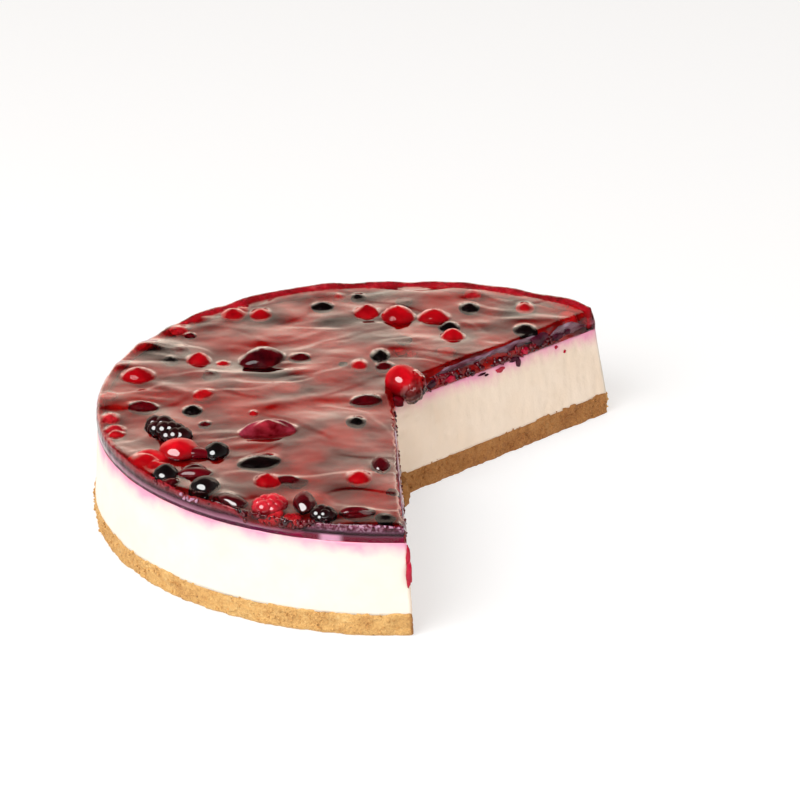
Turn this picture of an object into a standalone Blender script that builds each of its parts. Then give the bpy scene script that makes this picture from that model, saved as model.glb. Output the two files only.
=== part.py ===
"""A no-bake berry cheesecake, with a wedge of about a third cut out of it.

From the bottom up it is pressed biscuit crumb, set cream cheese, and a layer of dark
berry jelly with whole fruit standing in it. Everything below is written in millimetres
about the middle of the ring it was set in; the meshes are made in metres, and the whole
is moved at the end so that its box is centred on the origin and stands on z = 0.
"""

import math

import bmesh
import bpy
from mathutils import Matrix, Vector, noise
from mathutils.geometry import delaunay_2d_cdt

MM = 0.001

# Clearance kept between pieces that touch
GAP = 0.3

# Heights of the three layers
BASE_TOP = 10.2
CREAM_FOOT = BASE_TOP + GAP
CREAM_TOP = 40.0
JELLY_FOOT = CREAM_TOP + GAP
JELLY_TOP = 48.0

# Radii of the round outside
BASE_RADIUS = 129.8
CREAM_FOOT_RADIUS = 129.2
CREAM_TOP_RADIUS = 126.8
JELLY_RADIUS = 127.3
RIM_ROUNDING = 1.7

# The cut-out wedge: its tip leans back as it rises, and both knife cuts flare at the foot
TIP_FOOT = Vector((1.4, -0.4))
TIP_TOP = Vector((-1.5, 9.9))
FRONT_CUT_FOOT_X = 5.9
FRONT_CUT_TOP_X = 2.9
BACK_CUT_FOOT_ANGLE = 42.2
BACK_CUT_TOP_ANGLE = 45.8
FRONT_CUT_ROUNDING = 2.4
BACK_CUT_ROUNDING = 1.2
LUMP_REACH = 4.5
LUMP_WIDTH = 5.0

# Spacing of the mesh along the outlines and over the top
BASE_STEP = 6.6
CREAM_STEP = 9.0
CREAM_LEVELS = 3
JELLY_STEP = 8.6
TOP_STEP = 8.1

# Surface unevenness
CRUMB_ROUGHNESS = 1.2
CRUMB_EDGE_DROP = 0.7
CREAM_WAVE = 0.35
JELLY_SLOW_WAVE = 1.3
JELLY_FAST_WAVE = 0.6

# Fruit: how it is seated, and how far the jelly climbs up it
FRUIT_FLOOR = JELLY_FOOT + 1.4
SOCKET_GAP = 0.3
SOCKET_SLACK = 0.07
FRUIT_SPACING = 1.0
RIM_COVER = 1.0
GLAZE_DROP = 1.5
MOUND_SPREAD = 1.15

# Every piece of fruit as it was set: across x, y, length, width, turn in degrees, and how
# far its top stands above the jelly
FRUIT = {
    "cherry": [
        (2.8, 10.5, 16, 16, 0, 8.6),
        (-94, -57.5, 17, 17, 0, 4.0),
        (-107.5, -66, 12, 14, 20, 1.8),
        (-52, -85, 12, 12, 0, 2.4),
        (-15.5, -84, 11, 12, 0, 2.6),
        (-111, 22, 15, 14, 0, 3.8),
        (-86, 40, 11, 12, 0, 3.0),
        (-73, 93, 12, 13, 0, 1.8),
        (-60.5, 92, 11, 12, 0, 1.6),
        (-13, 93, 12, 14, 0, 3.0),
        (1.5, 87, 15, 15, 0, 4.4),
        (16.6, 85, 15, 13, 0, 3.4),
        (25, 63.5, 11, 11, 0, 3.0),
    ],
    "redcurrant": [
        (-82, 3, 11, 8, 40, 1.4),
        (58, 96, 9, 11, 0, 1.6),
        (-16, 33, 8, 10, 0, 1.2),
    ],
    "dark_cherry": [
        (-58, 41, 20, 18, 0, 4.0),
        (-42.6, 42, 10.5, 8, 0, 1.2),
        (-84, -73.5, 10, 10, 0, 1.6),
        (-65, -103, 16, 10, -38, 1.2),
        (-37.5, -107.5, 10, 13, 0, 2.6),
        (-17, -116, 13, 8, 8, 1.0),
        (-6.8, -72, 8.5, 12, 0, 1.4),
        (-107, -9, 15, 9, -20, 1.6),
        (-5, 31.6, 9, 9, 0, 1.0),
        (-13, -5, 14, 9, 15, 1.6),
    ],
    "blackcurrant": [
        (-74, -56, 12, 12, 0, 3.0),
        (-95, -79.5, 11, 11, 0, 2.6),
        (-77, -90.5, 13, 13, 0, 3.4),
        (-56, -66, 19, 12, 18, 1.6),
        (-17, -27, 9, 9, 0, 1.0),
        (-86, -13, 9, 9, 0, 1.2),
        (-33, 101, 11, 9, 0, 1.2),
        (33, 97, 10, 11, 0, 1.6),
        (23, 75.5, 10, 10, 0, 1.6),
        (-7, 43, 9, 12, 0, 2.0),
        (57, 71, 11, 11, 0, 1.6),
    ],
    "bramble": [
        (-95, -35, 24, 13, -48, 3.2),
        (-26.6, -115.5, 12, 11, 0, 2.6),
    ],
    "raspberry": [
        (-52, -109, 16, 15, 0, 3.0),
        (-121, -20, 9, 10, 0, 0.8),
        (-119, -32, 10, 9, 0, 0.8),
        (-98, 76, 9, 9, 0, 1.0),
        (35, 113, 9, 11, 0, 1.2),
    ],
    "strawberry": [
        (-52, -37, 28, 15, 10, 3.0),
    ],
}

# Fruit whose skin is a heap of small drupelets
KNOBBED = ("bramble", "raspberry")

# Colour, roughness of each fruit
FRUIT_FINISH = {
    "cherry": ((0.62, 0.01, 0.03), 0.12),
    "redcurrant": ((0.66, 0.02, 0.04), 0.12),
    "dark_cherry": ((0.09, 0.004, 0.01), 0.12),
    "blackcurrant": ((0.012, 0.006, 0.012), 0.14),
    "bramble": ((0.014, 0.005, 0.011), 0.16),
    "raspberry": ((0.48, 0.015, 0.04), 0.22),
    "strawberry": ((0.36, 0.02, 0.05), 0.2),
}


def clear_scene():
    for old in list(bpy.data.objects):
        bpy.data.objects.remove(old, do_unlink=True)


def finish(name, colour, roughness, coat=0.0):
    material = bpy.data.materials.new(name)
    material.use_nodes = True
    shader = material.node_tree.nodes["Principled BSDF"]
    shader.inputs["Base Color"].default_value = (*colour, 1.0)
    shader.inputs["Roughness"].default_value = roughness
    shader.inputs["Metallic"].default_value = 0.0
    shader.inputs["Coat Weight"].default_value = coat
    material.diffuse_color = (*colour, 1.0)
    return material


def place(name, mesh_builder, material, smooth_angle):
    """Turn a bmesh in millimetres into a named object in metres."""
    bmesh.ops.scale(mesh_builder, vec=(MM, MM, MM), verts=mesh_builder.verts)
    mesh = bpy.data.meshes.new(name)
    mesh_builder.to_mesh(mesh)
    mesh_builder.free()
    mesh.materials.append(material)
    mesh.shade_smooth()
    mesh.set_sharp_from_angle(angle=math.radians(smooth_angle))
    piece = bpy.data.objects.new(name, mesh)
    bpy.context.scene.collection.objects.link(piece)
    return piece


def mix(low, high, share):
    return low + (high - low) * share


def corners(radius, z, front_inset=0.0, back_inset=0.0):
    """Tip, front corner and back corner of the cake's outline at one height."""
    rise = z / JELLY_TOP
    tip = mix(TIP_FOOT, TIP_TOP, rise)
    back_angle = math.radians(mix(BACK_CUT_FOOT_ANGLE, BACK_CUT_TOP_ANGLE, rise))
    tip_x = tip.x - front_inset
    tip_y = tip.y - front_inset * math.tan(back_angle) + back_inset / math.cos(back_angle)
    front_x = mix(FRONT_CUT_FOOT_X, FRONT_CUT_TOP_X, rise) - front_inset
    front = Vector((front_x, -math.sqrt(radius * radius - front_x * front_x)))
    back_angle += back_inset / radius
    back = Vector((radius * math.cos(back_angle), radius * math.sin(back_angle)))
    return Vector((tip_x, tip_y)), front, back


def outline(radius, z, step, front_inset=0.0, back_inset=0.0):
    """The cake's plan outline, anticlockwise from the back corner round to the tip."""
    tip, front, back = corners(radius, z, front_inset, back_inset)
    start = math.atan2(back.y, back.x)
    end = math.atan2(front.y, front.x) + 2 * math.pi
    arc_count = round(math.radians(270.0 - BACK_CUT_FOOT_ANGLE) * BASE_RADIUS / step)
    cut_count = round(BASE_RADIUS / step)
    points = []
    for i in range(arc_count):
        angle = mix(start, end, i / arc_count)
        points.append(Vector((radius * math.cos(angle), radius * math.sin(angle))))
    for i in range(cut_count):
        points.append(mix(front, tip, i / cut_count))
    for i in range(cut_count):
        points.append(mix(tip, back, i / cut_count))
    return points


def roughen(points, z, depth, scale):
    """Move outline points in and out along their normals by smooth noise."""
    count = len(points)
    moved = []
    for i, point in enumerate(points):
        along = points[(i + 1) % count] - points[i - 1]
        normal = Vector((along.y, -along.x)).normalized()
        shift = depth * noise.noise(Vector((point.x, point.y, z)) / scale)
        moved.append(point + normal * shift)
    return moved


def ring(points, z):
    return [Vector((point.x, point.y, z)) for point in points]


def stack(rings):
    """Side walls between rings of equal length, bottom to top, with the foot closed."""
    solid = bmesh.new()
    rows = []
    for points in rings:
        rows.append([solid.verts.new(point) for point in points])
    count = len(rows[0])
    for low, high in zip(rows, rows[1:]):
        for i in range(count):
            j = (i + 1) % count
            solid.faces.new((low[i], low[j], high[j], high[i]))
    solid.faces.new(list(reversed(rows[0])))
    return solid, rows[-1]


def lump(points, z):
    """Push the outline out at the tip, where crumb was dragged into the gap."""
    tip = mix(TIP_FOOT, TIP_TOP, z / JELLY_TOP)
    centre = tip + Vector((1.0, -LUMP_WIDTH))
    moved = []
    for point in points:
        near = math.exp(-((point - centre).length / LUMP_WIDTH) ** 2)
        moved.append(point + Vector((LUMP_REACH * near, -0.3 * LUMP_REACH * near)))
    return moved


def crumb_base():
    """Pressed biscuit crumb, rounded and ragged at its edges."""
    levels = [
        (0.0, 1.1, 0.5),
        (1.4, 0.0, 1.0),
        (5.2, -0.2, 1.0),
        (8.8, 0.1, 1.0),
        (BASE_TOP, 1.2, 0.6),
    ]
    rings = []
    for z, inset, share in levels:
        points = outline(BASE_RADIUS - inset, z, BASE_STEP, 0.5 * inset, 0.5 * inset)
        points = roughen(points, 3 * z, CRUMB_ROUGHNESS * share, 6.5)
        rings.append(ring(lump(points, z), z))
    for corner in rings[-1]:
        corner.z -= CRUMB_EDGE_DROP * (0.5 + 0.5 * noise.noise(corner / 4.0))
    solid, top = stack(rings)
    solid.faces.new(top)
    material = finish("biscuit_crumb", (0.66, 0.38, 0.13), 0.85)
    return place("crumb_base", solid, material, 50)


def cream_filling():
    """Set cream cheese, a touch wider at the foot, with gently waved walls."""
    rings = []
    for level in range(CREAM_LEVELS + 1):
        rise = level / CREAM_LEVELS
        z = mix(CREAM_FOOT, CREAM_TOP, rise)
        radius = mix(CREAM_FOOT_RADIUS, CREAM_TOP_RADIUS, rise)
        points = outline(radius, z, CREAM_STEP)
        rings.append(ring(roughen(points, z, CREAM_WAVE, 16.0), z))
    solid, top = stack(rings)
    solid.faces.new(top)
    material = finish("set_cream", (0.93, 0.86, 0.74), 0.5)
    return place("cream_filling", solid, material, 50)


class Berry:
    """One piece of fruit: its kind, place, half sizes and turn."""

    def __init__(self, kind, number, row):
        x, y, length, width, turn, proud = row
        self.name = f"{kind}_{number:02d}"
        self.kind = kind
        self.place = Vector((x, y))
        self.half = Vector((length / 2, width / 2, (JELLY_TOP + proud - FRUIT_FLOOR) / 2))
        self.turn = math.radians(turn)
        self.top = JELLY_TOP + proud

    def reach(self, direction):
        """Half size of the fruit along a direction in plan."""
        angle = math.atan2(direction.y, direction.x) - self.turn
        across = math.cos(angle) / self.half.x
        along = math.sin(angle) / self.half.y
        return 1.0 / math.hypot(across, along)

    def nearness(self, x, y):
        """0 at the middle, 1 at the fruit's edge, more beyond it."""
        away = Vector((x, y)) - self.place
        distance = away.length
        if distance < 1e-6:
            return 0.0
        return distance / self.reach(away)

    def centre(self):
        return Vector((self.place.x, self.place.y, self.top - self.half.z))


def spread_fruit():
    """All the fruit, drawn in from the rim and pushed apart where two would touch."""
    fruit = []
    for kind, rows in FRUIT.items():
        for number, row in enumerate(rows, 1):
            fruit.append(Berry(kind, number, row))
    crown = fruit[0]
    for _ in range(60):
        for first in fruit:
            for second in fruit:
                if first is second or second is crown:
                    continue
                away = second.place - first.place
                room = first.reach(away) + second.reach(away) + FRUIT_SPACING
                if away.length < room:
                    second.place += away.normalized() * (room - away.length) * 0.5
            if first is crown:
                continue
            limit = JELLY_RADIUS - RIM_COVER - first.reach(first.place)
            if first.place.length > limit:
                first.place *= limit / first.place.length
    return fruit


def jelly_height(x, y, fruit):
    """Height of the jelly: slow waves, and mounds where it climbs over the fruit."""
    slow = noise.noise(Vector((x, y, 11.0)) / 38.0)
    fast = noise.noise(Vector((x, y, 47.0)) / 18.0)
    level = JELLY_TOP + JELLY_SLOW_WAVE * slow + JELLY_FAST_WAVE * fast
    climb = 0.0
    for berry in fruit:
        nearness = berry.nearness(x, y)
        if nearness < 3.0:
            rise = max(0.0, min(berry.top - GLAZE_DROP, JELLY_TOP + 3.0) - level)
            climb = max(climb, rise * math.exp(-((nearness / MOUND_SPREAD) ** 2)))
    return level + climb


def inside_points(rim):
    """A staggered grid of points well inside the rim outline."""
    points = []
    row = 0
    y = -BASE_RADIUS
    count = len(rim)
    while y < BASE_RADIUS:
        x = -BASE_RADIUS + (TOP_STEP / 2 if row % 2 else 0.0)
        while x < BASE_RADIUS:
            spot = Vector((x, y))
            crossings = 0
            nearest = BASE_RADIUS
            for i in range(count):
                a = rim[i]
                b = rim[(i + 1) % count]
                nearest = min(nearest, (spot - a).length)
                if (a.y > y) != (b.y > y) and x < a.x + (b.x - a.x) * (y - a.y) / (b.y - a.y):
                    crossings += 1
            if crossings % 2 and nearest > 0.62 * TOP_STEP:
                points.append(spot)
            x += TOP_STEP
        y += TOP_STEP * math.sqrt(3) / 2
        row += 1
    return points


def close_top(solid, top, fruit):
    """Cover the topmost ring with a surface that follows the jelly's height."""
    rim = [Vector((vert.co.x, vert.co.y)) for vert in top]
    inner = inside_points(rim)
    verts = list(top)
    for point in inner:
        verts.append(solid.verts.new((point.x, point.y, jelly_height(point.x, point.y, fruit))))
    edges = [(i, (i + 1) % len(rim)) for i in range(len(rim))]
    result = delaunay_2d_cdt(rim + inner, edges, [], 1, 1e-6)
    faces, origins = result[2], result[3]
    for face in faces:
        solid.faces.new([verts[origins[index][0]] for index in face])


def berry_jelly(fruit):
    """The jelly layer: rounded shoulder, waved top, and a socket round each fruit."""
    levels = [
        (JELLY_FOOT, 0.5, 0.0),
        (JELLY_FOOT + 3.6, 0.0, 0.1),
        (JELLY_TOP - 1.1, 0.4, 0.5),
    ]
    rings = []
    for z, inset, share in levels:
        points = outline(JELLY_RADIUS - inset, z, JELLY_STEP,
                         FRONT_CUT_ROUNDING * share, BACK_CUT_ROUNDING * share)
        rings.append(ring(points, z))
    shoulder = outline(JELLY_RADIUS - RIM_ROUNDING, JELLY_TOP, JELLY_STEP,
                       FRONT_CUT_ROUNDING, BACK_CUT_ROUNDING)
    rings.append([Vector((point.x, point.y, jelly_height(point.x, point.y, fruit) - 0.3))
                  for point in shoulder])
    solid, top = stack(rings)
    close_top(solid, top, fruit)
    bmesh.ops.recalc_face_normals(solid, faces=solid.faces)
    material = finish("berry_jelly", (0.17, 0.006, 0.014), 0.06, 1.0)
    return place("berry_jelly", solid, material, 60)


def knobs(direction, count):
    """How far a direction is from the nearest of evenly spread knobs, 0 to about 1."""
    golden = math.pi * (3 - math.sqrt(5))
    nearest = 0.0
    for i in range(count):
        z = 1 - 2 * (i + 0.5) / count
        ring_radius = math.sqrt(1 - z * z)
        knob = Vector((ring_radius * math.cos(golden * i), ring_radius * math.sin(golden * i), z))
        nearest = max(nearest, knob.dot(direction))
    return math.acos(min(1.0, nearest)) / math.sqrt(4 * math.pi / count)


def fruit_shape(berry, grow):
    """A piece of fruit's mesh about its own middle, its half sizes grown by a clearance."""
    shape = bmesh.new()
    knobbed = berry.kind in KNOBBED and grow == 0.0
    longest = max(berry.half.x, berry.half.y)
    if knobbed and longest > 5.0:
        bmesh.ops.create_icosphere(shape, subdivisions=3, radius=1.0)
    elif longest > 6.9 and grow == 0.0:
        bmesh.ops.create_uvsphere(shape, u_segments=12, v_segments=7, radius=1.0)
    else:
        bmesh.ops.create_icosphere(shape, subdivisions=2, radius=1.0)
    for vert in shape.verts:
        direction = vert.co.normalized()
        bulge = 1.0
        if knobbed:
            bulge = 1.0 - 0.2 * knobs(direction, 22) ** 2
        if berry.kind == "strawberry":
            bulge *= 1.0 - 0.22 * max(0.0, direction.x) ** 2
        vert.co = Vector((direction.x * (berry.half.x + grow),
                          direction.y * (berry.half.y + grow),
                          direction.z * (berry.half.z + grow))) * bulge
    turn = Matrix.Rotation(berry.turn, 3, "Z")
    bmesh.ops.transform(shape, matrix=turn.to_4x4(), verts=shape.verts)
    bmesh.ops.translate(shape, vec=berry.centre(), verts=shape.verts)
    return shape


def cut_sockets(jelly, fruit):
    """Hollow the jelly where each piece of fruit sits, a hair wider than the fruit."""
    hollow = bmesh.new()
    for berry in fruit:
        widest = max(berry.half.x, berry.half.y)
        shape = fruit_shape(berry, SOCKET_GAP + SOCKET_SLACK * widest)
        copy = bpy.data.meshes.new("one_socket")
        shape.to_mesh(copy)
        shape.free()
        hollow.from_mesh(copy)
        bpy.data.meshes.remove(copy)
    cutter = place("sockets", hollow, jelly.data.materials[0], 60)
    cutter.hide_render = True
    cutter.display_type = "WIRE"
    cut = jelly.modifiers.new("sockets", "BOOLEAN")
    cut.operation = "DIFFERENCE"
    cut.solver = "EXACT"
    cut.object = cutter


def set_fruit(fruit):
    skins = {kind: finish(kind, colour, roughness, 1.0)
             for kind, (colour, roughness) in FRUIT_FINISH.items()}
    for berry in fruit:
        place(berry.name, fruit_shape(berry, 0.0), skins[berry.kind], 75)


def centre_on_origin():
    """Move every mesh so that the cake's box is centred above the origin."""
    corners_seen = []
    for piece in bpy.data.objects:
        if piece.display_type != "WIRE":
            corners_seen.extend(vert.co for vert in piece.data.vertices)
    middle_x = (min(c.x for c in corners_seen) + max(c.x for c in corners_seen)) / 2
    middle_y = (min(c.y for c in corners_seen) + max(c.y for c in corners_seen)) / 2
    shift = Matrix.Translation((-middle_x, -middle_y, 0.0))
    for piece in bpy.data.objects:
        piece.data.transform(shift)


clear_scene()
crumb_base()
cream_filling()
all_fruit = spread_fruit()
cut_sockets(berry_jelly(all_fruit), all_fruit)
set_fruit(all_fruit)
centre_on_origin()
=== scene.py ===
import math

import bmesh
import bpy
import numpy as np
from mathutils import Matrix, Vector, noise
from mathutils.bvhtree import BVHTree
from mathutils.geometry import delaunay_2d_cdt


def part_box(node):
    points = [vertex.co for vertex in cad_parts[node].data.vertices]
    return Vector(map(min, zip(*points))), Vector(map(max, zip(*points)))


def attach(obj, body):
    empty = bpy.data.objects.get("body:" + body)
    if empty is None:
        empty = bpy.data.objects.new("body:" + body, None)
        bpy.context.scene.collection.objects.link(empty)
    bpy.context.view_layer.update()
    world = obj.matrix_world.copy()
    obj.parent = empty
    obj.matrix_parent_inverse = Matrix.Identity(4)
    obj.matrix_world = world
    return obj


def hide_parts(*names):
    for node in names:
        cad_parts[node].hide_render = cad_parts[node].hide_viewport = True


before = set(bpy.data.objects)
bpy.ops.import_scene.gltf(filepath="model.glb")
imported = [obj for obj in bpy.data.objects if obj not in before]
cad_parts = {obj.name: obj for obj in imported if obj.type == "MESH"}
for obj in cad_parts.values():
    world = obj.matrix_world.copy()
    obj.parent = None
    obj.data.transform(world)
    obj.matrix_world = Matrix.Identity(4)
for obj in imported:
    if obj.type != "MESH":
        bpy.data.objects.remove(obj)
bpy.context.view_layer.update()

# The crumb base: crushed biscuit bound with butter and pressed into the ring by hand, so its wall
# is grainy, its edges crumble, and a lump was dragged out at the tip when the wedge was cut.
MM = 0.001
BASE_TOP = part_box("crumb_base")[1][2] / MM
BASE_RADIUS = 129.8
TIP_FOOT = np.array([1.4, -0.4])
TIP_TOP = np.array([-1.5, 9.9])
FRONT_CUT_FOOT_X = 5.9
FRONT_CUT_TOP_X = 2.9
BACK_CUT_FOOT_ANGLE = 42.2
BACK_CUT_TOP_ANGLE = 45.8
CAKE_TOP = 48.0
CRUMB_STEP = 1.15
CRUMB_LEVELS = 12
CRUMB_INSET = 0.4
CRUMB_RELIEF = 0.715
CRUMB_RELIEF_LIMIT = 0.45
LUMP_REACH = 4.0
LUMP_WIDTH = 5.0
# The ring's middle in the row's frame, measured from the cherry that stands at the tip.
crown_low, crown_high = (np.array(corner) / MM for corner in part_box("cherry_01"))
CROWN_PLACE = np.array([2.8, 10.5])
RING_MIDDLE = ((crown_low + crown_high) / 2)[:2] - CROWN_PLACE


class Value:
    """A socket's value in a material or node tree; arithmetic on it adds Math nodes."""

    def __init__(self, tree, socket=None):
        self.tree = tree
        self.socket = socket

    def node(self, kind, settings=None, inputs=None, output=0):
        """One output of a new node with these settings and inputs."""
        node = self.tree.nodes.new(kind)
        for name, setting in (settings or {}).items():
            setattr(node, name, setting)
        for key, value in (inputs or {}).items():
            if isinstance(value, Value):
                self.tree.links.new(value.socket, node.inputs[key])
            else:
                node.inputs[key].default_value = value
        return Value(self.tree, node.outputs[output])

    def maths(self, operation, first, second=0.0):
        return self.node("ShaderNodeMath", {"operation": operation}, {0: first, 1: second})

    def __add__(self, other):
        return self.maths("ADD", self, other)

    __radd__ = __add__

    def __sub__(self, other):
        return self.maths("SUBTRACT", self, other)

    def __rsub__(self, other):
        return self.maths("SUBTRACT", other, self)

    def __mul__(self, other):
        return self.maths("MULTIPLY", self, other)

    def clamped(self, highest=1.0):
        """This value, held between 0 and the highest."""
        return self.maths("MINIMUM", self.maths("MAXIMUM", self, 0.0), highest)

    def mark(self, name):
        """A value painted on the mesh's points."""
        return self.node("ShaderNodeAttribute", {"attribute_name": name}, None, 2)

    def axis(self, index):
        """One coordinate of a place."""
        return self.node("ShaderNodeSeparateXYZ", None, {"Vector": self}, index)

    def stretched(self, *scale):
        """A place with its coordinates scaled."""
        return self.node("ShaderNodeMapping", None, {"Vector": self, "Scale": scale})

    def grain(self, scale, detail=3.0, roughness=0.55):
        """Cloudy noise, 0 to 1, at a place."""
        return self.node("ShaderNodeTexNoise", None, {"Vector": self, "Scale": scale,
                                                      "Detail": detail, "Roughness": roughness})

    def blend(self, low, high, kind="MIX"):
        """A colour between low and high by this value."""
        low, high = (end if isinstance(end, Value) else (*end, 1.0) for end in (low, high))
        return self.node("ShaderNodeMix", {"data_type": "RGBA", "blend_type": kind},
                         {0: self, 6: low, 7: high}, 2)

    def ramp(self, stops):
        """The colour that this value meets on a ramp of places and colours."""
        node = self.tree.nodes.new("ShaderNodeValToRGB")
        while len(node.color_ramp.elements) < len(stops):
            node.color_ramp.elements.new(0.5)
        for element, (place, colour) in zip(node.color_ramp.elements, stops):
            element.position = place
            element.color = (*colour, 1.0)
        self.tree.links.new(self.socket, node.inputs["Fac"])
        return Value(self.tree, node.outputs[0])

    def bump(self, strength, distance):
        """The normal of a surface that has this height."""
        return self.node("ShaderNodeBump", None,
                         {"Height": self, "Strength": strength, "Distance": distance})


def new_material(name, constants):
    """A material with its shader's constants set, the shader, and its object coordinates."""
    material = bpy.data.materials.new(name)
    material.use_nodes = True
    shader = material.node_tree.nodes["Principled BSDF"]
    for socket, constant in constants.items():
        shader.inputs[socket].default_value = constant
    return material, shader, Value(material.node_tree).node("ShaderNodeTexCoord", output=3)


def feed(shader, name, value):
    value.tree.links.new(value.socket, shader.inputs[name])


def corners(radius, z, front_inset=0.0, back_inset=0.0):
    """Tip, front corner and back corner of the plan outline, in millimetres about the ring."""
    rise = z / CAKE_TOP
    tip = TIP_FOOT + (TIP_TOP - TIP_FOOT) * rise
    back_angle = BACK_CUT_FOOT_ANGLE + (BACK_CUT_TOP_ANGLE - BACK_CUT_FOOT_ANGLE) * rise
    back_angle = math.radians(back_angle)
    tip_y = tip[1] - front_inset * math.tan(back_angle) + back_inset / math.cos(back_angle)
    front_x = FRONT_CUT_FOOT_X + (FRONT_CUT_TOP_X - FRONT_CUT_FOOT_X) * rise - front_inset
    front = np.array([front_x, -math.sqrt(radius * radius - front_x * front_x)])
    back_angle += back_inset / radius
    back = np.array([radius * math.cos(back_angle), radius * math.sin(back_angle)])
    return np.array([tip[0] - front_inset, tip_y]), front, back


def outline(radius, z, step, front_inset=0.0, back_inset=0.0):
    """The plan outline anticlockwise from the back corner: the arc, the front cut, the back cut."""
    tip, front, back = corners(radius, z, front_inset, back_inset)
    start = math.atan2(back[1], back[0])
    end = math.atan2(front[1], front[0]) + 2 * math.pi
    arc_count = round(math.radians(270.0 - BACK_CUT_FOOT_ANGLE) * BASE_RADIUS / step)
    cut_count = round(BASE_RADIUS / step)
    angles = np.linspace(start, end, arc_count, endpoint=False)
    arc = np.stack([radius * np.cos(angles), radius * np.sin(angles)], 1)
    share = np.linspace(0.0, 1.0, cut_count, endpoint=False)[:, None]
    return np.concatenate([arc, front + (tip - front) * share, tip + (back - tip) * share])


def cut_share(count_all, step):
    """1 for outline points on the two cuts, 0 on the round wall."""
    cut_count = round(BASE_RADIUS / step)
    mask = np.zeros(count_all)
    mask[count_all - 2 * cut_count:] = 1.0
    return mask


def normals(points):
    """Outward normals of a closed plan outline."""
    along = np.roll(points, -1, 0) - np.roll(points, 1, 0)
    normal = np.stack([along[:, 1], -along[:, 0]], 1)
    return normal / np.linalg.norm(normal, axis=1)[:, None]


def waves(points, scale, seed=0.0):
    """Smooth noise, about -0.5 to 0.5, at 3-D points in millimetres."""
    scale = np.broadcast_to(scale, 3)
    return np.array([noise.noise(Vector((x / scale[0], y / scale[1], z / scale[2] + seed)))
                     for x, y, z in points])


def ring_at(points, z):
    """Plan points lifted to a height, or each to its own."""
    return np.concatenate([points, np.broadcast_to(z, len(points))[:, None]], 1)


def wall_faces(level_count, count):
    """Quads between rings of equal length, bottom to top."""
    faces = []
    for low in range(0, (level_count - 1) * count, count):
        for i in range(count):
            j = (i + 1) % count
            faces.append((low + i, low + j, low + count + j, low + count + i))
    return faces


def into_scene(name, data):
    piece = bpy.data.objects.new(name, data)
    bpy.context.scene.collection.objects.link(piece)
    return piece


def add_piece(name, points, faces, material, marks=None):
    """A mesh object from points in millimetres about the ring, placed in the row's metres."""
    placed = np.array(points, dtype=float)
    placed[:, :2] += RING_MIDDLE
    mesh = bpy.data.meshes.new(name)
    mesh.from_pydata((placed * MM).tolist(), [], faces)
    mesh.materials.append(material)
    mesh.shade_smooth()
    for mark, values in (marks or {}).items():
        painted = mesh.attributes.new(mark, "FLOAT", "POINT").data
        painted.foreach_set("value", np.array(values, dtype=float))
    mesh.update()
    return into_scene(name, mesh)


def cap_faces(rim_points, inner_points, first_rim, first_inner):
    """Triangles over a rim and the points inside it, as index triples, facing up."""
    count = len(rim_points)
    plan = [Vector(p) for p in rim_points] + [Vector(p) for p in inner_points]
    edges = [(i, (i + 1) % count) for i in range(count)]
    result = delaunay_2d_cdt(plan, edges, [], 1, 1e-6)
    names = [first_rim + o[0] if o[0] < count else first_inner + o[0] - count for o in result[3]]
    return [tuple(names[i] for i in face) for face in result[2]]


def foot_faces(ring):
    """Triangles closing the lowest ring of a piece, facing down."""
    return [tuple(reversed(face)) for face in cap_faces(ring[:, :2], [], 0, 0)]


def grid_inside(rim, tip, front, back, step):
    """A staggered grid of plan points inside the rim."""
    span = np.arange(-BASE_RADIUS, BASE_RADIUS, step)
    rows = np.arange(-BASE_RADIUS, BASE_RADIUS, step * math.sqrt(3) / 2)
    x, y = np.meshgrid(span, rows)
    x[1::2] += step / 2
    plan = np.stack([x.ravel(), y.ravel()], 1)
    clear = 0.62 * step

    def side(start, end):
        along = (end - start) / np.linalg.norm(end - start)
        return (plan - start) @ np.array([-along[1], along[0]])

    radius = np.linalg.norm(rim[0])
    round_wall = np.linalg.norm(plan, axis=1) < radius - clear
    return plan[round_wall & ((side(front, tip) > clear) | (side(tip, back) > clear))]


CRUMB_TONES = ((0.15, (0.44, 0.19, 0.050)), (0.38, (0.68, 0.36, 0.110)),
               (0.62, (0.79, 0.46, 0.155)), (0.95, (0.90, 0.62, 0.27)))
SPECK_BROWN = (0.26, 0.11, 0.035)
# On the cut faces: the browner inner crumb, deepened as painted shade of the notch.
CUT_BROWN_AND_SHADE = (0.53, 0.365, 0.28)


def crumb_material():
    """Golden baked crumb with paler and browner grains and dark specks; the cuts browner, as moist
    inner crumb and as painted shade.
    """
    material, shader, place = new_material("golden_crumb", {"Roughness": 0.8})
    cells = place.node("ShaderNodeTexVoronoi", None, {"Vector": place, "Scale": 1500.0}, 1)
    grey = place.node("ShaderNodeRGBToBW", None, {"Color": cells})
    golden = (grey * 0.42 + place.grain(110.0) * 0.8 - 0.10).clamped().ramp(CRUMB_TONES)
    speck = place.grain(620.0, 1.0)
    speckled = (((speck - 0.68) * 10.0).clamped() * 0.6).blend(golden, SPECK_BROWN)
    browned_and_shaded = (place.mark("cut") * 0.9).blend(speckled, CUT_BROWN_AND_SHADE, "MULTIPLY")
    feed(shader, "Base Color", browned_and_shaded)
    relief = place.grain(1400.0, 4.0, 0.7) + speck + grey * 0.5
    feed(shader, "Normal", relief.bump(0.9, 0.0006))
    return material


golden_crumb = crumb_material()


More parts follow.
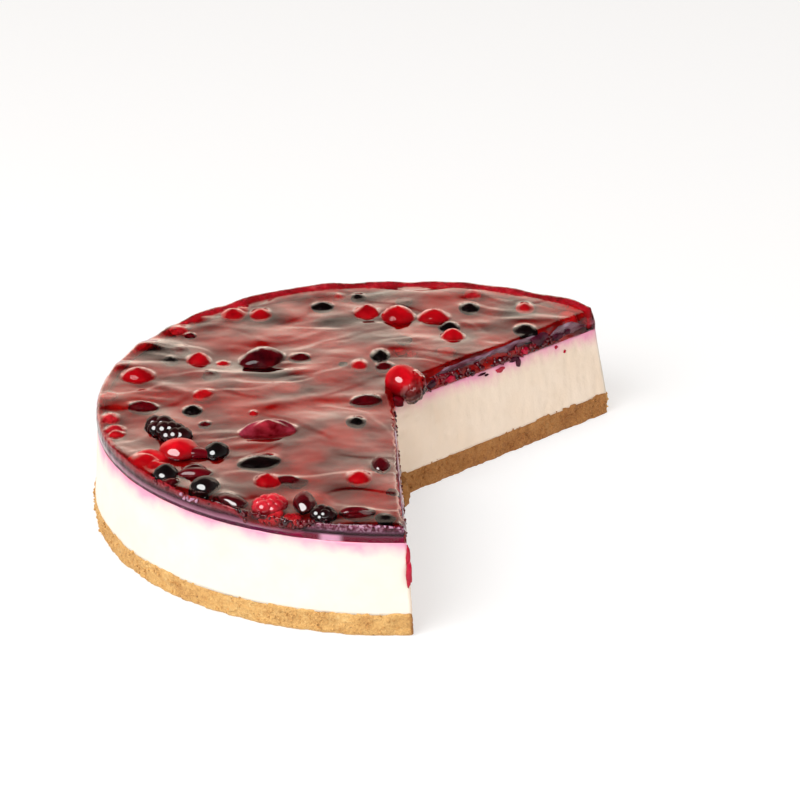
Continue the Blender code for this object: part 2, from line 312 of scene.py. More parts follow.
def crumb_rings():
    """Rings of the crumb wall from the foot up, rounded and rough."""
    profile = [(0.0, 1.6), (0.35, 0.8), (1.2, CRUMB_INSET)]
    for level in range(1, CRUMB_LEVELS - 2):
        profile.append((1.2 + (BASE_TOP - 1.9) * level / (CRUMB_LEVELS - 2), CRUMB_INSET))
    profile += [(BASE_TOP - 0.25, 0.6), (BASE_TOP, 1.0), (BASE_TOP, 2.4)]
    rings = []
    for z, inset in profile:
        points = outline(BASE_RADIUS - inset, z, CRUMB_STEP, 0.5 * inset, 0.5 * inset)
        spots = ring_at(points, z)
        rough = (1.2 * waves(spots, 6.5, 3.0) + 0.9 * waves(spots, 2.3, 5.0)
                 + 0.5 * waves(spots, 1.1, 9.0)) * CRUMB_RELIEF
        points = points + normals(points) * np.minimum(rough, CRUMB_RELIEF_LIMIT)[:, None]
        centre = TIP_FOOT + (TIP_TOP - TIP_FOOT) * z / CAKE_TOP + np.array([1.0, -LUMP_WIDTH])
        near = np.exp(-(np.linalg.norm(points - centre, axis=1) / LUMP_WIDTH) ** 2)
        points = points + near[:, None] * np.array([LUMP_REACH, -0.3 * LUMP_REACH])
        at_top = z > BASE_TOP - 1.0
        lift = np.minimum(0.8 * waves(spots, 2.6, 1.0) - 0.25, 0.0) if at_top else 0.0
        rings.append(ring_at(points, z + lift))
    return rings


def crumb_base():
    rings = crumb_rings()
    count = len(rings[0])
    faces = wall_faces(len(rings), count)
    faces += cap_faces(rings[-1][:, :2], [], (len(rings) - 1) * count, 0)
    faces += foot_faces(rings[0])
    cut = np.tile(cut_share(count, CRUMB_STEP), len(rings))
    piece = add_piece("pressed_crumb", np.concatenate(rings), faces, golden_crumb, {"cut": cut})
    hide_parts("crumb_base")
    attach(piece, "root")


crumb_base()


def grain_tree():
    """Geometry nodes: small lumps sown over a surface, half sunk in it."""
    tree = bpy.data.node_groups.new("sown_grains", "GeometryNodeTree")
    for name, kind in (("Surface", "NodeSocketGeometry"), ("Per Square Metre", "NodeSocketFloat"),
                       ("Smallest", "NodeSocketFloat"), ("Largest", "NodeSocketFloat"),
                       ("Seed", "NodeSocketInt"), ("Material", "NodeSocketMaterial")):
        tree.interface.new_socket(name, in_out="INPUT", socket_type=kind)
    tree.interface.new_socket("Grains", in_out="OUTPUT", socket_type="NodeSocketGeometry")
    start = Value(tree)

    def given(index):
        return Value(tree, entry.outputs[index])

    entry = tree.nodes.new("NodeGroupInput")
    sown = tree.nodes.new("GeometryNodeDistributePointsOnFaces")
    for key, index in (("Mesh", 0), ("Density", 1), ("Seed", 4)):
        tree.links.new(entry.outputs[index], sown.inputs[key])
    lump = start.node("GeometryNodeMeshIcoSphere", None, {"Radius": 1.0, "Subdivisions": 2})
    turn = start.node("FunctionNodeRandomValue", {"data_type": "FLOAT_VECTOR"},
                      {"Min": (0.0, 0.0, 0.0), "Max": (6.3, 6.3, 6.3), "Seed": given(4)})
    girth = start.node("FunctionNodeRandomValue", {"data_type": "FLOAT"},
                       {2: given(2), 3: given(3), "Seed": given(4)}, 1)
    uneven = start.node("FunctionNodeRandomValue", {"data_type": "FLOAT_VECTOR"},
                        {"Min": (0.6, 0.6, 0.5), "Max": (1.2, 1.0, 0.9), "Seed": 5})
    size = start.node("ShaderNodeVectorMath", {"operation": "SCALE"}, {0: uneven, "Scale": girth})
    placed = start.node("GeometryNodeInstanceOnPoints", None, {
        "Points": Value(tree, sown.outputs["Points"]), "Instance": lump, "Rotation": turn,
        "Scale": size})
    real = start.node("GeometryNodeRealizeInstances", None, {"Geometry": placed})
    spot = start.node("GeometryNodeInputPosition")
    noise_here = start.node("ShaderNodeTexNoise", None, {"Vector": spot, "Scale": 700.0}, 1)
    centred = start.node("ShaderNodeVectorMath", {"operation": "SUBTRACT"},
                         {0: noise_here, 1: (0.5, 0.5, 0.5)})
    shove = start.node("ShaderNodeVectorMath", {"operation": "SCALE"},
                       {0: centred, "Scale": 0.0022})
    rough = start.node("GeometryNodeSetPosition", None, {"Geometry": real, "Offset": shove})
    dressed = start.node("GeometryNodeSetMaterial", None, {"Geometry": rough, "Material": given(5)})
    leave = tree.nodes.new("NodeGroupOutput")
    tree.links.new(dressed.socket, leave.inputs["Grains"])
    return tree


GRAIN_TREE = grain_tree()


def sow(name, points, faces, per_square_mm, sizes, seed, material, marks=None):
    """A mesh of grains over the surface given by points and faces, in millimetres."""
    field = add_piece(name + "_field", points, faces, material, marks)
    sower = field.modifiers.new("sower", "NODES")
    sower.node_group = GRAIN_TREE
    wanted = {"Per Square Metre": per_square_mm / (MM * MM), "Smallest": sizes[0] * MM / 2,
              "Largest": sizes[1] * MM / 2, "Seed": seed, "Material": material}
    for item in GRAIN_TREE.interface.items_tree:
        if item.in_out == "INPUT" and item.name in wanted:
            sower[item.identifier] = wanted[item.name]
    bpy.context.view_layer.update()
    mesh = bpy.data.meshes.new_from_object(
        field.evaluated_get(bpy.context.evaluated_depsgraph_get()))
    field.modifiers.clear()
    bpy.data.objects.remove(field)
    mesh.shade_smooth()
    grains = into_scene(name, mesh)
    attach(grains, "root")


def crumb_grains():
    """Loose-edged grains standing out of the wall, but not of the front cut, which is smoother."""
    rings = crumb_rings()[2:-2]
    count = len(rings[0])
    cut_count = round(BASE_RADIUS / CRUMB_STEP)
    front_cut = range(count - 2 * cut_count - 2, count - cut_count)
    faces = [face for face in wall_faces(len(rings), count) if face[0] % count not in front_cut]
    cut = np.tile(cut_share(count, CRUMB_STEP), len(rings))
    sow("crumb_grains", np.concatenate(rings), faces, 0.16, (0.5, 1.5), 3, golden_crumb,
        {"cut": cut})


crumb_grains()

# The cream filling: cream cheese and whipped cream set cold. The ring left its wall smooth; the
# knife left fine upright drag marks on the cuts, and the jelly stained its upper edge pink.
CREAM_FOOT_RADIUS = 129.2
CREAM_TOP_RADIUS = 126.8
CREAM_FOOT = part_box("cream_filling")[0][2] / MM - 1.2
CREAM_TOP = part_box("cream_filling")[1][2] / MM
CREAM_STEP = 1.4
CREAM_LEVELS = 26
DRAG_DEPTH = 0.35
STAIN_DEPTH = 8.5

# Pulp and juice on the cream under the jelly: place, radius, and how bright it glows, or below 0
# how dark it lies.
PULP = (
    (-10, 124, 11, -0.8), (-15, 92, 10, -0.6), (-102, 60, 14, -1.0), (-88, 45, 9, -0.8),
    (-66, 37, 10, -0.9), (-52, 32, 8, -0.9), (-42, 27, 7, -0.8), (55, 97, 10, -0.9),
    (45, 82, 8, -0.7), (-38, 12, 8, -0.8), (-60, 88, 12, -0.5), (-15, 72, 8, -0.6),
    (-5, -51, 14, -0.5), (30, 69, 8, -0.8), (84, 92, 7, -0.8), (-30, 88, 8, -0.5),
    (-60, -78, 10, -0.5), (-25, -62, 9, -0.4), (0, 68, 8, -0.5), (-80, 92, 10, -0.4),
    (-38, 37, 8, 1.5), (-46, 15, 5, 1.4), (-28, -1, 8, 1.4), (-10, -6, 6, 1.0),
    (-105, 77, 10, 1.0), (20, 116, 13, 0.9), (-46, 80, 10, 0.9), (-22, -44, 6, 1.0),
    (-110, 8, 8, 1.0), (40, 66, 8, 0.9), (75, 104, 9, 0.8), (-70, 6, 10, 0.8),
    (-34, -96, 8, 1.0), (-20, -30, 7, 0.6), (12, 74, 7, 0.9), (-98, -28, 8, 0.9),
    (-62, -8, 8, 0.9), (-30, 60, 9, 0.6), (-70, 60, 9, 0.6),
)

IVORY_TONES = ((0.3, (0.86, 0.77, 0.64)), (0.7, (0.90, 0.83, 0.72)))
CUT_TINT = (0.98, 0.87, 0.80)
STAIN_PINK = (0.80, 0.24, 0.43)
PULP_TONES = ((0.0, (0.01, 0.001, 0.001)), (0.32, (0.30, 0.009, 0.008)),
              (0.62, (0.78, 0.045, 0.03)), (1.0, (1.0, 0.36, 0.25)))


def pulp_tone(plan):
    """The pulp's tone at plan points, from -1, dark, to 1, bright."""
    tone = np.zeros(len(plan))
    for x, y, radius, strength in PULP:
        away = np.linalg.norm(plan - np.array([x, y]), axis=1) / radius
        tone += strength * np.exp(-away ** 2)
    spots = ring_at(plan, 0.0)
    return np.clip(tone + 0.9 * waves(spots, 16.0, 4.0) + 0.25 * waves(spots, 6.0, 9.0), -1, 1)


def cream_material():
    """Ivory cream, stained pink downwards from the jelly, with red and dark pulp on its top."""
    material, shader, place = new_material("ivory_cream", {"Roughness": 0.42})
    upright = place.axis(2)
    cloud = place.grain(60.0, 4.0)
    streak = place.stretched(1.0, 1.0, 0.35).grain(420.0)
    cut = place.mark("cut")
    below = (CREAM_TOP * MM - upright) * (1000.0 / STAIN_DEPTH)
    drift = (cloud - 0.5) * 1.5 + (streak - 0.5) * cut * 0.5
    left = ((place.axis(0) * -1.0 - 0.03) * 12.0).clamped()
    stain = (1.0 - below + drift + cut * 0.05 + left * 0.2).clamped()
    tinted = cut.blend(cloud.ramp(IVORY_TONES), CUT_TINT, "MULTIPLY")
    pink = (stain * stain * 0.85).blend(tinted, STAIN_PINK)
    pulp = (place.mark("pulp") * 0.5 + 0.5).ramp(PULP_TONES)
    covered = ((upright - (CREAM_TOP - 0.05) * MM) * 40000.0).clamped()
    feed(shader, "Base Color", covered.blend(pink, pulp))
    feed(shader, "Normal", (place.grain(900.0) + streak).bump(0.25, 0.0004))
    return material


def cream_filling():
    rings = []
    cut = cut_share(len(outline(CREAM_TOP_RADIUS, CREAM_TOP, CREAM_STEP)), CREAM_STEP)
    for level in range(CREAM_LEVELS + 1):
        rise = level / CREAM_LEVELS
        z = CREAM_FOOT + (CREAM_TOP - CREAM_FOOT) * rise
        radius = CREAM_FOOT_RADIUS + (CREAM_TOP_RADIUS - CREAM_FOOT_RADIUS) * rise
        points = outline(radius, z, CREAM_STEP)
        spots = ring_at(points, z)
        drag = waves(spots, (3.2, 3.2, 26.0), 2.0) + 0.6 * waves(spots, (1.6, 1.6, 5.0), 7.0)
        pores = np.minimum(waves(spots, 2.2, 4.0) + 0.12, 0.0)
        smooth = 0.3 * waves(spots, 17.0, 8.0)
        depth = cut * (DRAG_DEPTH * drag + 0.9 * pores) + (1.0 - cut) * smooth
        rings.append(ring_at(points + normals(points) * depth[:, None], z))
    count = len(rings[0])
    faces = wall_faces(len(rings), count)
    rim = rings[-1][:, :2]
    inner = grid_inside(rim, *corners(CREAM_TOP_RADIUS, CREAM_TOP), 2.0)
    first = (len(rings) - 1) * count
    faces += cap_faces(rim, inner, first, first + count)
    faces += foot_faces(rings[0])
    points = np.concatenate(rings + [ring_at(inner, CREAM_TOP)])
    cuts = np.concatenate([np.tile(cut, len(rings)), np.zeros(len(inner))])
    pulp = np.concatenate([np.zeros(first), pulp_tone(points[first:, :2])])
    piece = add_piece("set_cream", points, faces, cream_material(), {"cut": cuts, "pulp": pulp})
    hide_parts("cream_filling")
    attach(piece, "root")


cream_filling()

# The fruit: thawed cherries, currants, brambles, raspberries and half a strawberry, laid on the
# cream before the jelly was poured. Each is shaped to the solid whose place it takes.
FRUIT_SLOT = {"cherry": "red_fruit", "redcurrant": "red_fruit", "dark_cherry": "wine_fruit",
              "blackcurrant": "black_fruit", "bramble": "black_fruit", "raspberry": "soft_fruit",
              "strawberry": "soft_fruit"}
PROUD_FRUIT = ("cherry_01", "cherry_02", "blackcurrant_01", "blackcurrant_02", "blackcurrant_03",
               "bramble_01", "bramble_02", "raspberry_01", "dark_cherry_04", "dark_cherry_05",
               "dark_cherry_07")
# How much taller than its solid a proud fruit stands, with the jelly's skin on it.
PROUD_LIFT = {"blackcurrant_01": 1.0, "blackcurrant_02": 1.2, "blackcurrant_03": 1.4,
              "raspberry_01": 1.4, "dark_cherry_04": 0.8, "dark_cherry_05": 1.4,
              "dark_cherry_07": 1.8, "bramble_01": 1.6, "bramble_02": 1.0, "cherry_02": 1.0,
              "strawberry_01": 1.6}


class Fruit:
    """Where one fruit lies: its middle, half sizes and turn, in millimetres about the ring."""

    def __init__(self, name, kind, middle, half, turn=0.0):
        self.name = name
        self.kind = kind
        self.middle = np.array(middle, dtype=float)
        self.half = np.array(half, dtype=float)
        self.axes = np.array([[math.cos(turn), math.sin(turn)], [-math.sin(turn), math.cos(turn)]])
        self.points = None
        self.faces = None

    @classmethod
    def of_node(cls, node):
        """The place and size of the solid that the fruit takes over."""
        points = np.array([v.co[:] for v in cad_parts[node].data.vertices]) / MM
        points[:, :2] -= RING_MIDDLE
        low, high = points.min(0), points.max(0)
        middle = (low + high) / 2
        flat = (points - middle)[:, :2]
        axes = np.linalg.eigh(flat.T @ flat)[1]
        turn = math.atan2(axes[1, 1], axes[0, 1])
        if math.cos(turn) < 0:
            turn += math.pi
        fruit = cls(node, node.rsplit("_", 1)[0], middle, (1, 1, 1), turn)
        reach = np.abs(flat @ fruit.axes.T).max(0)
        lift = PROUD_LIFT.get(node, 0.0) / 2
        fruit.half = np.array([reach[0], reach[1], (high[2] - low[2]) / 2 + lift])
        fruit.middle[2] += lift
        return fruit

    def set_shape(self, shape, faces):
        """Take a shape about its own middle, turned and moved to the fruit's place."""
        flat = shape[:, :2] @ self.axes
        self.points = np.concatenate([flat, shape[:, 2:]], 1) + self.middle
        self.faces = faces

    @property
    def seed(self):
        return self.middle[0] * 0.37 + self.middle[1] * 0.11

    @property
    def stands_proud(self):
        return self.name in PROUD_FRUIT or self.name == "proud_scrap"


def sphere(detail):
    """Unit sphere points and faces."""
    ball = bmesh.new()
    bmesh.ops.create_icosphere(ball, subdivisions=detail, radius=1.0)
    points = np.array([v.co[:] for v in ball.verts])
    faces = [tuple(v.index for v in face.verts) for face in ball.faces]
    ball.free()
    return points, faces


def round_shape(fruit, dent=0.10, wrinkle=0.0):
    """A smooth berry or cherry, faintly dented, as it lies."""
    points, faces = sphere(5 if fruit.half[0] > 6 else 4)
    if fruit.name in PROUD_FRUIT and fruit.name != "cherry_01":
        away = np.linalg.norm(points[:, :2], axis=1)
        peak = 0.86 * points[:, 2] + 0.14 * (1.0 - np.sqrt(away ** 2 + 0.012))
        points[:, 2] = np.where(points[:, 2] > 0.0, peak, points[:, 2])
    swell = 1.0 + dent * waves(points * 10.0, 11.0, fruit.seed)
    swell += wrinkle * waves(points * 10.0, 4.0, fruit.seed + 5.0)
    fruit.set_shape(points * fruit.half * swell[:, None] * 0.99, faces)


def joined(parts):
    """The points and the faces of several meshes as those of one."""
    points, faces, filled = [], [], 0
    for part_points, part_faces in parts:
        points.append(part_points)
        faces += [tuple(v + filled for v in face) for face in part_faces]
        filled += len(part_points)
    return np.concatenate(points), faces


def knobbed_shape(fruit):
    """A raspberry or bramble: small round drupelets packed over a core."""
    size = fruit.half * (1.12 if fruit.name == "bramble_01" else 1.0)
    count = 20 if size[0] > 6.5 else 15
    golden = math.pi * (3 - math.sqrt(5))
    ball, ball_faces = sphere(2)
    core, core_faces = sphere(3)
    drupe = 2.2 * (size[0] * size[1] * size[2]) ** (1 / 3) / math.sqrt(count)
    parts = [(core * (size - drupe * 0.6), core_faces)]
    for i in range(count):
        z = 1 - 2 * (i + 0.5) / count
        around = math.sqrt(1 - z * z)
        seat = np.array([around * math.cos(golden * i), around * math.sin(golden * i), z])
        growth = 1.0 + 0.3 * noise.noise(Vector(seat * 3.1) + Vector((fruit.seed, 0, 0)))
        parts.append((seat * (size - drupe) + ball * drupe * growth, ball_faces))
    points, faces = joined(parts)
    fruit.set_shape(np.clip(points, -size, size), faces)


def half_shape(fruit):
    """Half a strawberry on its side: tapering to the left, the cut face towards the front."""
    points, faces = sphere(5)
    taper = 1.0 - 0.30 * np.clip(-points[:, 0], 0.0, 1.0) ** 1.5
    shape = points * fruit.half * 0.98
    shape[:, 1] *= taper
    front = -0.35 * fruit.half[1]
    shape[:, 1] = np.where(shape[:, 1] < front, front + (shape[:, 1] - front) * 0.35, shape[:, 1])
    slant = 0.9 * fruit.half[2] - 0.55 * np.maximum(0.45 * fruit.half[1] - shape[:, 1], 0.0)
    shape[:, 2] = np.minimum(shape[:, 2], slant)
    shape *= 1.0 + 0.03 * waves(points * 10.0, 5.0, 2.0)[:, None]
    fruit.set_shape(shape, faces)


SHAPES = {"bramble": knobbed_shape, "raspberry": knobbed_shape, "strawberry": half_shape,
          "dark_cherry": lambda fruit: round_shape(fruit, 0.22, 0.03)}
topping = [Fruit.of_node(node) for node in sorted(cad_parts)
           if node.rsplit("_", 1)[0] in FRUIT_SLOT]
for fruit in topping:
    SHAPES.get(fruit.kind, round_shape)(fruit)

# Proud skin gets full painted shade up to this height, in metres, and none 6 mm higher.
SHADE_TOP = 0.0455
PAINTED_SHADE_TINT = (0.16, 0.10, 0.14)


def skin_material(name, dark, light, patch, coat, foot_shade=0.0):
    """Wet fruit skin: two tones in soft clouds, glossy where it faces the eye, painted shade below.
    """
    material, shader, place = new_material(name, {
        "Roughness": 0.3, "Specular IOR Level": 0.05, "Coat Roughness": 0.02,
        "Coat IOR": 1.75 if light[0] > 0.3 else 2.0})
    tone = ((place.grain(patch) - 0.5) * 2.4 + 0.5).clamped()
    # Painted shade: the skin's colour darkens by the shade tint towards its foot.
    painted_shade_share = (1.0 - (place.axis(2) - SHADE_TOP) * 160.0).clamped() * foot_shade
    feed(shader, "Base Color", painted_shade_share.blend(tone.blend(dark, light), PAINTED_SHADE_TINT, "MULTIPLY"))
    facing = place.node("ShaderNodeLayerWeight", None, {"Blend": 0.5}, 1)
    feed(shader, "Coat Weight", ((0.58 - facing) * 4.0).clamped() * coat)
    feed(shader, "Normal", place.grain(800.0, 2.0).bump(0.1, 0.0003))
    return material


SKIN_TONES = {
    "cherry": ((0.36, 0.0, 0.004), (0.78, 0.004, 0.012), 120.0),
    "redcurrant": ((0.45, 0.0, 0.006), (0.82, 0.012, 0.02), 160.0),
    "dark_cherry": ((0.03, 0.0, 0.002), (0.17, 0.001, 0.006), 150.0),
    "blackcurrant": ((0.002, 0.001, 0.001), (0.010, 0.002, 0.003), 150.0),
    "bramble": ((0.002, 0.001, 0.001), (0.04, 0.002, 0.004), 220.0),
    "raspberry": ((0.45, 0.0, 0.01), (0.90, 0.04, 0.06), 260.0),
    "strawberry": ((0.15, 0.001, 0.012), (0.80, 0.11, 0.19), 130.0),
}
FRUIT_SKIN = {kind: skin_material(kind + "_skin", *tones, 0.0)
              for kind, tones in SKIN_TONES.items()}
PROUD_SKIN = {kind: skin_material("proud_" + kind + "_skin", *SKIN_TONES[kind], 1.0, 1.0)
              for kind in ("cherry", "dark_cherry", "blackcurrant", "bramble", "raspberry")}
for fruit in topping:
    skin = (PROUD_SKIN if fruit.name in PROUD_FRUIT else FRUIT_SKIN)[fruit.kind]
    piece = add_piece("glazed_" + fruit.name, fruit.points, fruit.faces, skin)
    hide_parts(fruit.name)
    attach(piece, "root")

# Small fruit sunk in the jelly: currants, halves and scraps that lie deeper and show as soft dark
# or bright spots. They were stirred in with the rest before the jelly set. Each has its place,
# length, width and top.
SUNK_FRUIT = {
    "redcurrant": (
        (76, 89, 8.5, 8.5, 47.2), (22, 49, 9, 8, 47.0), (-26, 113, 6, 6, 48.0),
        (2, 50, 6, 6, 47.6), (7, 45, 5, 5, 47.6), (-101, -60, 18, 13, 50.6),
        (-98, -68, 10, 8, 48.6), (-88, -57, 9, 8, 49.6), (-82, 4, 9, 7, 48.2),
        (-70, 97, 11, 8, 48.6), (-122, 3, 8, 6, 48.4), (-116, -36, 7, 6, 48.2),
        (-60, -18, 5, 4, 48.6), (80, 95, 9, 6, 48.6), (-75, 38, 6, 6, 47.8)),
    "dark_cherry": (
        (-40.2, -84.5, 9, 7, 48.0), (-80, 26, 8, 8, 48.0), (-95, 53, 9, 9, 48.3),
        (4, 108, 8, 7, 47.8), (3, 62, 9, 7, 47.5), (-68, -100, 11, 9, 48.8),
        (-91, -84, 8, 6, 48.6), (-103, 57, 4, 4, 48.2), (-91, 69, 5, 5, 48.4),
        (-80, -27, 6, 5, 48.0), (-2, -95, 5, 5, 47.8), (-83, -57.5, 20, 6.5, 50.2),
        (-82, -77, 15, 8, 50.4), (-45, -84, 12, 6, 49.2), (-16, -115, 15, 7, 50.0),
        (0.0, 5.5, 7, 5.0, 45.0)),
    "blackcurrant": (
        (-5, -119, 8, 7, 48.0), (-98, 41, 7, 7, 48.4), (-17, 113, 7, 7, 48.2),
        (-23, 35, 4, 4, 47.8)),
    "raspberry": (
        (-50.4, -110.2, 12, 8, 48.4), (-41.2, -114.8, 8, 6, 47.0)),
}
PROUD_TOP = 50.0
SCRAP_SKIN = {kind: skin_material("scrap_" + kind + "_skin", *SKIN_TONES[kind], 0.4)
              for kind in ("redcurrant", "dark_cherry")}
sunk = []
for kind, rows in SUNK_FRUIT.items():
    for x, y, length, width, top in rows:
        proud = top >= PROUD_TOP
        fruit = Fruit("proud_scrap" if proud else "sunk", kind, (x, y, top - width / 2),
                      (length / 2, width / 2, width / 2), 0.0 if proud else 0.7 * x)
        if kind == "raspberry":
            knobbed_shape(fruit)
        else:
            round_shape(fruit, 0.15 if proud else 0.3, 0.0 if proud else 0.1)
        sunk.append(fruit)


def sunk_piece(name, kind, skin):
    """All the small fruit of one kind that lie alike, in one mesh."""
    points, faces = joined((fruit.points, fruit.faces) for fruit in sunk
                           if fruit.kind == kind and fruit.name == name)
    piece = add_piece(name + "_" + kind, points, faces, skin)
    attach(piece, "root")


for name, kind in sorted({(fruit.name, fruit.kind) for fruit in sunk}):
    sunk_piece(name, kind, SCRAP_SKIN[kind] if name == "proud_scrap" else FRUIT_SKIN[kind])

# The jelly: dark berry juice set clear over the fruit. It climbs over each berry in a thin film,
# lies in slow waves between them, and stands up in a thin lip where it met the ring.
FILM = 0.45
JELLY_FOOT = CREAM_TOP - 0.2
JELLY_RADIUS = 127.3
RIM_ROUNDING = 1.2
RIM_LIP = 2.0
LIP_WIDTH = 2.4
# The lip runs along the rear, ends at this angle and fades before it.
REAR_END = 146.0
REAR_FADE = 14.0
FRONT_CUT_ROUNDING = 2.4
BACK_CUT_ROUNDING = 0.8
JELLY_SLOW_WAVE = 1.3
JELLY_FAST_WAVE = 0.5
TERRACE = 0.2
# Folds run across the jelly, a gap apart; the drop is the share of each that falls away.
RIDGE_GAP = 15.0
RIDGE_DROP = 0.34
RIDGE_HEIGHT = 0.20
SWELL = 0.17
RIPPLE = 0.05
JELLY_STEP = 0.76
FILLET = 0.8
# The jelly slopes up to each covered fruit as a cone, and to each proud one as a low skirt.
CONE_REACH = 1.08
CONE_SHARE = 1.15
CONE_LIFT = 0.5
SKIRT = 0.3
SKIRT_SPREAD = 1.2
MOUND_SHARE = 0.42
# Mounds, and below 0 hollows, where no fruit shows: place, length, width, turn, height.
MOUNDS = (
    (-55, 62, 34, 12, 20, 1.3), (-52, -10, 30, 10, 15, 1.6), (-62, 24, 24, 8, -5, 1.3),
    (-42, 26, 18, 7, 25, 1.0), (-103, 55, 18, 16, 20, 1.6), (-108, 34, 16, 10, 0, 1.0),
    (-96, 8, 22, 8, -35, 1.2), (-88, 30, 12, 16, 10, 0.9), (-98, -22, 26, 10, -40, 1.3),
    (10, 60, 20, 9, -10, 1.1), (60, 82, 24, 9, 10, 1.2), (35, 78, 16, 8, 0, 0.9),
    (-60, -50, 22, 8, 5, 1.3), (-35, 112, 22, 10, 25, 1.2), (20, 112, 30, 10, -8, 1.0),
    (56, 106, 14, 10, -30, 1.3), (78, 98, 14, 8, -35, 1.0), (-45, -84, 12, 6, 0, 0.8),
    (-118, -5, 10, 14, 0, 1.2), (-28, -3, 26, 8, 8, 0.9),
    (-84, -104, 16, 12, -40, -2.0), (-102, -88, 14, 12, -48, -2.0), (-60, -118, 16, 8, -25, -1.6),
    (-36, -120, 26, 8, -12, -1.6), (-8, -2, 18, 9, 20, 1.2),
    (-30, 88, 22, 9, 12, 0.9), (-80, 82, 24, 9, 35, 1.0), (-100, 73, 12, 10, 35, 3.2),
    (-110, 55, 13, 10, 30, 3.6), (-88, 88, 11, 9, 45, 2.6), (-119, 33, 12, 10, 10, 2.8),
)

JUICE_COLOUR = (0.86, 0.14, 0.08, 1.0)
JUICE_DENSITY = 190.0


def jelly_material():
    """Clear dark red jelly: glass that takes green and blue out of what passes through it."""
    material, _, place = new_material("berry_jelly", {
        "Roughness": 0.02, "Base Color": (1.0, 0.96, 0.97, 1.0), "Transmission Weight": 1.0,
        "IOR": 1.35})
    juice = place.node("ShaderNodeVolumeAbsorption", None,
                       {"Color": JUICE_COLOUR, "Density": JUICE_DENSITY})
    feed(place.tree.nodes["Material Output"], "Volume", juice)
    return material


berry_glass = jelly_material()


def rear_share(plan):
    """1 along the rear of the round wall, fading to 0 at the left and in front."""
    turn = np.degrees(np.arctan2(plan[:, 1], plan[:, 0])) % 360.0
    return np.clip((REAR_END - turn) / REAR_FADE, 0.0, 1.0)


def smooth_max(first, second, soft):
    near = np.maximum(soft - np.abs(first - second), 0.0) / soft
    return np.maximum(first, second) + near * near * soft / 4


def steps(value, width):
    """Flat ground below and above, with a smooth bank between."""
    share = np.clip(value / width + 0.5, 0.0, 1.0)
    return share * share * (3 - 2 * share)


covered = BVHTree.FromPolygons(*joined((fruit.points, fruit.faces) for fruit in topping + sunk
                                       if not fruit.stands_proud))


def jelly_height(plan):
    """Height of the jelly over plan points: waves, banks, the lip, and a film over each berry."""
    def layer(seed, scale):
        return waves(ring_at(plan, seed), scale)

    level = CAKE_TOP + JELLY_SLOW_WAVE * layer(11.0, 38.0) + JELLY_FAST_WAVE * layer(47.0, 18.0)
    level += TERRACE * (steps(layer(3.0, (30.0, 20.0, 20.0)), 0.16) - 0.5)
    level += SWELL * layer(7.0, (14.0, 10.0, 10.0)) + RIPPLE * layer(5.0, 4.0)
    share = (plan[:, 1] / RIDGE_GAP + 1.3 * layer(21.0, (34.0, 24.0, 20.0))) % 1.0
    ridge = np.minimum(share / (1.0 - RIDGE_DROP), (1.0 - share) / RIDGE_DROP) - 0.5
    strength = np.clip(2.4 * layer(33.0, 26.0) + 0.6, 0.0, 1.0)
    strength *= np.clip((plan[:, 1] - 0.4 * plan[:, 0] + 60.0) / 80.0, 0.25, 1.0)
    level += RIDGE_HEIGHT * strength * ridge
    for x, y, length, width, turn, height in MOUNDS:
        angle = math.radians(turn)
        off = plan - np.array([x, y])
        along = (off[:, 0] * math.cos(angle) + off[:, 1] * math.sin(angle)) / (0.5 * length)
        across = (off[:, 1] * math.cos(angle) - off[:, 0] * math.sin(angle)) / (0.5 * width)
        level += MOUND_SHARE * height * np.exp(-(along ** 2 + across ** 2))
    inward = JELLY_RADIUS - np.linalg.norm(plan, axis=1)
    lip = RIM_LIP * rear_share(plan) * (0.95 + 0.4 * layer(13.0, 14.0))
    level += lip * np.clip(1.0 - (inward - RIM_ROUNDING) / LIP_WIDTH, 0.0, 1.0)
    cones = np.full(len(plan), -100.0)
    skirt = np.zeros(len(plan))
    for fruit in topping + sunk:
        reach = fruit.half[:2]
        local = (plan - fruit.middle[:2]) @ fruit.axes.T
        nearness = np.linalg.norm(local / reach, axis=1)
        if fruit.stands_proud:
            away = np.maximum(nearness - 1.0, 0.0) * reach.mean()
            skirt = np.maximum(skirt, SKIRT * np.exp(-away / SKIRT_SPREAD))
            continue
        rise = CONE_SHARE * np.maximum(fruit.middle[2] + fruit.half[2] + CONE_LIFT - level, 0.0)
        cones = np.maximum(cones, level + rise * (1.0 - nearness / CONE_REACH))
    level = smooth_max(level + skirt, cones, FILLET)
    film = np.full(len(plan), -100.0)
    for i, (x, y) in enumerate(plan):
        hit = covered.ray_cast(Vector((x, y, 90.0)), Vector((0.0, 0.0, -1.0)))[0]
        if hit is not None:
            film[i] = hit.z + FILM
    return smooth_max(level, film, 0.5 * FILLET), film - 0.7 * FILM


def smoothed(heights, floor, faces, rounds):
    """Heights relaxed towards their neighbours' mean, never below the fruit."""
    ends = np.array([(a, b) for face in faces for a, b in zip(face, face[1:] + face[:1])])
    count = np.bincount(ends[:, 0], minlength=len(heights)).clip(1)
    for _ in range(rounds):
        total = np.bincount(ends[:, 0], heights[ends[:, 1]], minlength=len(heights))
        mean = np.where(count > 1, total / count, heights)
        heights = np.maximum(0.5 * heights + 0.5 * mean, floor)
    return heights


